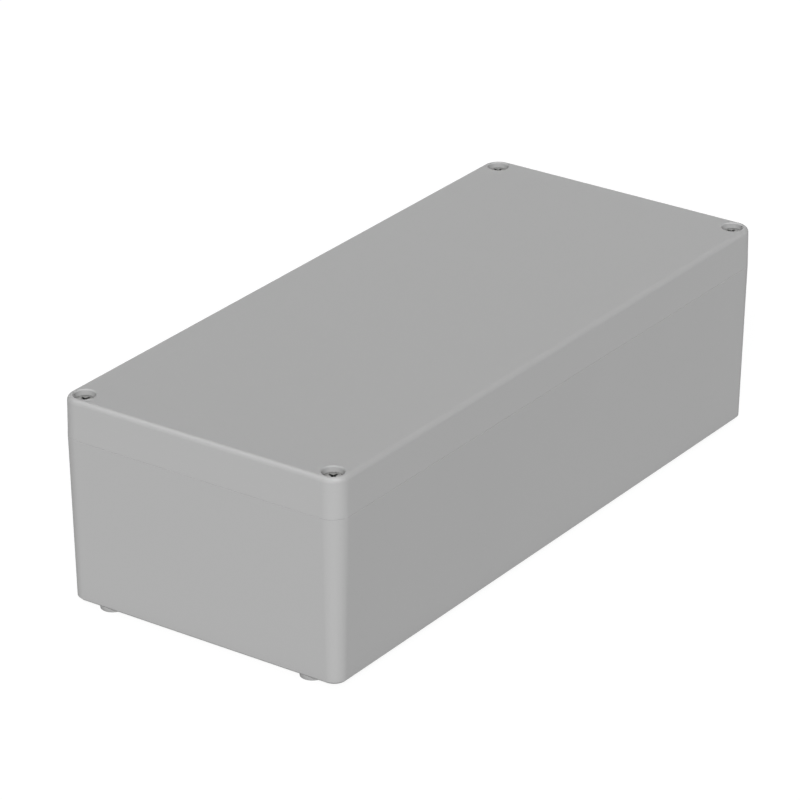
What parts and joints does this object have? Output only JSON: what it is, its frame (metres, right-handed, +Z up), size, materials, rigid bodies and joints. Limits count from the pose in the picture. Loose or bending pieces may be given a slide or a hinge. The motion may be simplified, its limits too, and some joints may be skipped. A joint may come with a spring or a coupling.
{
  "type": "abs enclosure",
  "caption": "Deep rectangular ABS enclosure with a screw-down lid on a gasket, board bosses, card guides and wall fixing holes through its feet.",
  "frame": {"origin": "middle of the plane that the feet stand on, under the centre of the case", "axes": "+X along the length, +Y across the width, +Z up through the lid"},
  "size_m": [0.25, 0.1102, 0.0744],
  "materials": {
    "abs_grey": "fine moulded satin, neutral grey",
    "gasket_rubber": "matt black rubber",
    "screw_steel": "plain steel, turned head",
    "insert_brass": "turned brass"
  },
  "bodies": {
    "base": {"base": "abs_grey", "screw_insert_front_left": "insert_brass", "screw_insert_front_right": "insert_brass", "screw_insert_back_left": "insert_brass", "screw_insert_back_right": "insert_brass"},
    "lid": {"lid": "abs_grey", "gasket": "gasket_rubber"},
    "lid_screw_front_left": {"lid_screw_front_left": "screw_steel"},
    "lid_screw_front_right": {"lid_screw_front_right": "screw_steel"},
    "lid_screw_back_left": {"lid_screw_back_left": "screw_steel"},
    "lid_screw_back_right": {"lid_screw_back_right": "screw_steel"}
  },
  "joints": [
    {"name": "lid_lift", "type": "slide", "parent": "base", "child": "lid", "axis": [0, 0, 1], "range_m": [0, 0.1]},
    {"name": "lid_screw_front_left_rise", "type": "slide", "parent": "lid", "child": "lid_screw_front_left", "axis": [0, 0, 1], "range_m": [0, 0.0065]},
    {"name": "lid_screw_front_right_rise", "type": "slide", "parent": "lid", "child": "lid_screw_front_right", "axis": [0, 0, 1], "range_m": [0, 0.0065]},
    {"name": "lid_screw_back_left_rise", "type": "slide", "parent": "lid", "child": "lid_screw_back_left", "axis": [0, 0, 1], "range_m": [0, 0.0065]},
    {"name": "lid_screw_back_right_rise", "type": "slide", "parent": "lid", "child": "lid_screw_back_right", "axis": [0, 0, 1], "range_m": [0, 0.0065]}
  ]
}
